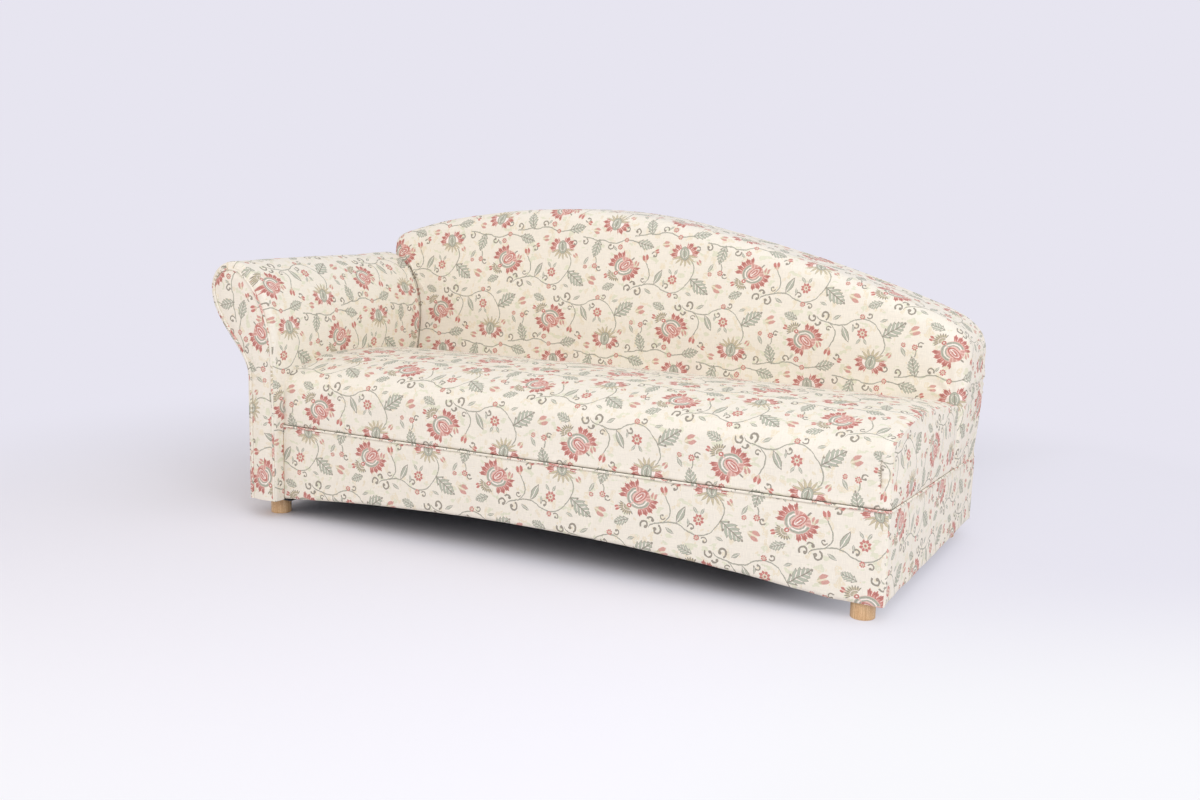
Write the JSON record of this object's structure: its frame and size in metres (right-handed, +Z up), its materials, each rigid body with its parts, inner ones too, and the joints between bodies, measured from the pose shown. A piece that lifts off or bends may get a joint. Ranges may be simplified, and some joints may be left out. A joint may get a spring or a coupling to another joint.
{
  "type": "one-armed sofa",
  "caption": "Upholstered sofa with one scroll arm, a long fixed seat, a humped back that falls towards the open end, an arched front and short round legs.",
  "frame": {"origin": "on the floor under the middle of the sofa's outline", "axes": "+X along the sofa from its arm to its open end, the front faces -Y, +Z up"},
  "size_m": [1.93, 0.94, 0.868],
  "materials": {
    "cloth": "matte",
    "beech": "satin",
    "pine": "matte",
    "plywood": "matte",
    "foam": "matte",
    "felt": "matte",
    "webbing": "matte",
    "steel": "satin",
    "dust": "matte"
  },
  "bodies": {
    "root": {"leg_front_left": "beech", "leg_front_right": "beech", "leg_rear_left": "beech", "leg_rear_right": "beech", "leg_stud_front_left": "steel", "leg_stud_front_right": "steel", "leg_stud_rear_left": "steel", "leg_stud_rear_right": "steel", "front_rail": "pine", "rear_rail": "pine", "left_rail": "pine", "right_rail": "pine", "back_sill": "pine", "cross_rail_1": "pine", "cross_rail_2": "pine", "leg_block_front_right": "pine", "leg_block_rear_right": "pine", "leg_block_rear_left": "pine", "dust_cloth": "dust", "arm_dust_cloth": "dust", "seat_strap_1": "webbing", "seat_strap_2": "webbing", "seat_strap_3": "webbing", "seat_strap_4": "webbing", "seat_strap_5": "webbing", "seat_strap_6": "webbing", "seat_strap_7": "webbing", "seat_strap_8": "webbing", "seat_felt": "felt", "seat_foam": "foam", "seat_cover": "cloth", "front_border": "cloth", "end_border": "cloth", "seat_welt": "cloth", "back_front_board": "plywood", "back_rear_board": "plywood", "back_rib_1": "plywood", "back_rib_2": "plywood", "back_rib_3": "plywood", "back_rib_4": "plywood", "back_top_rail": "plywood", "back_foam": "foam", "back_top_pad": "foam", "back_cover": "cloth", "back_outside_cloth": "cloth", "arm_front_board": "plywood", "arm_rear_board": "plywood", "arm_outer_board": "plywood", "arm_bottom_board": "pine", "arm_bolting_rail": "pine", "arm_roll_batten": "pine", "arm_foam": "foam", "arm_cover": "cloth", "arm_outside_cloth": "cloth", "arm_facing": "cloth", "arm_welt": "cloth", "arm_bolt_1": "steel", "arm_bolt_2": "steel", "arm_bolt_3": "steel"}
  },
  "joints": []
}
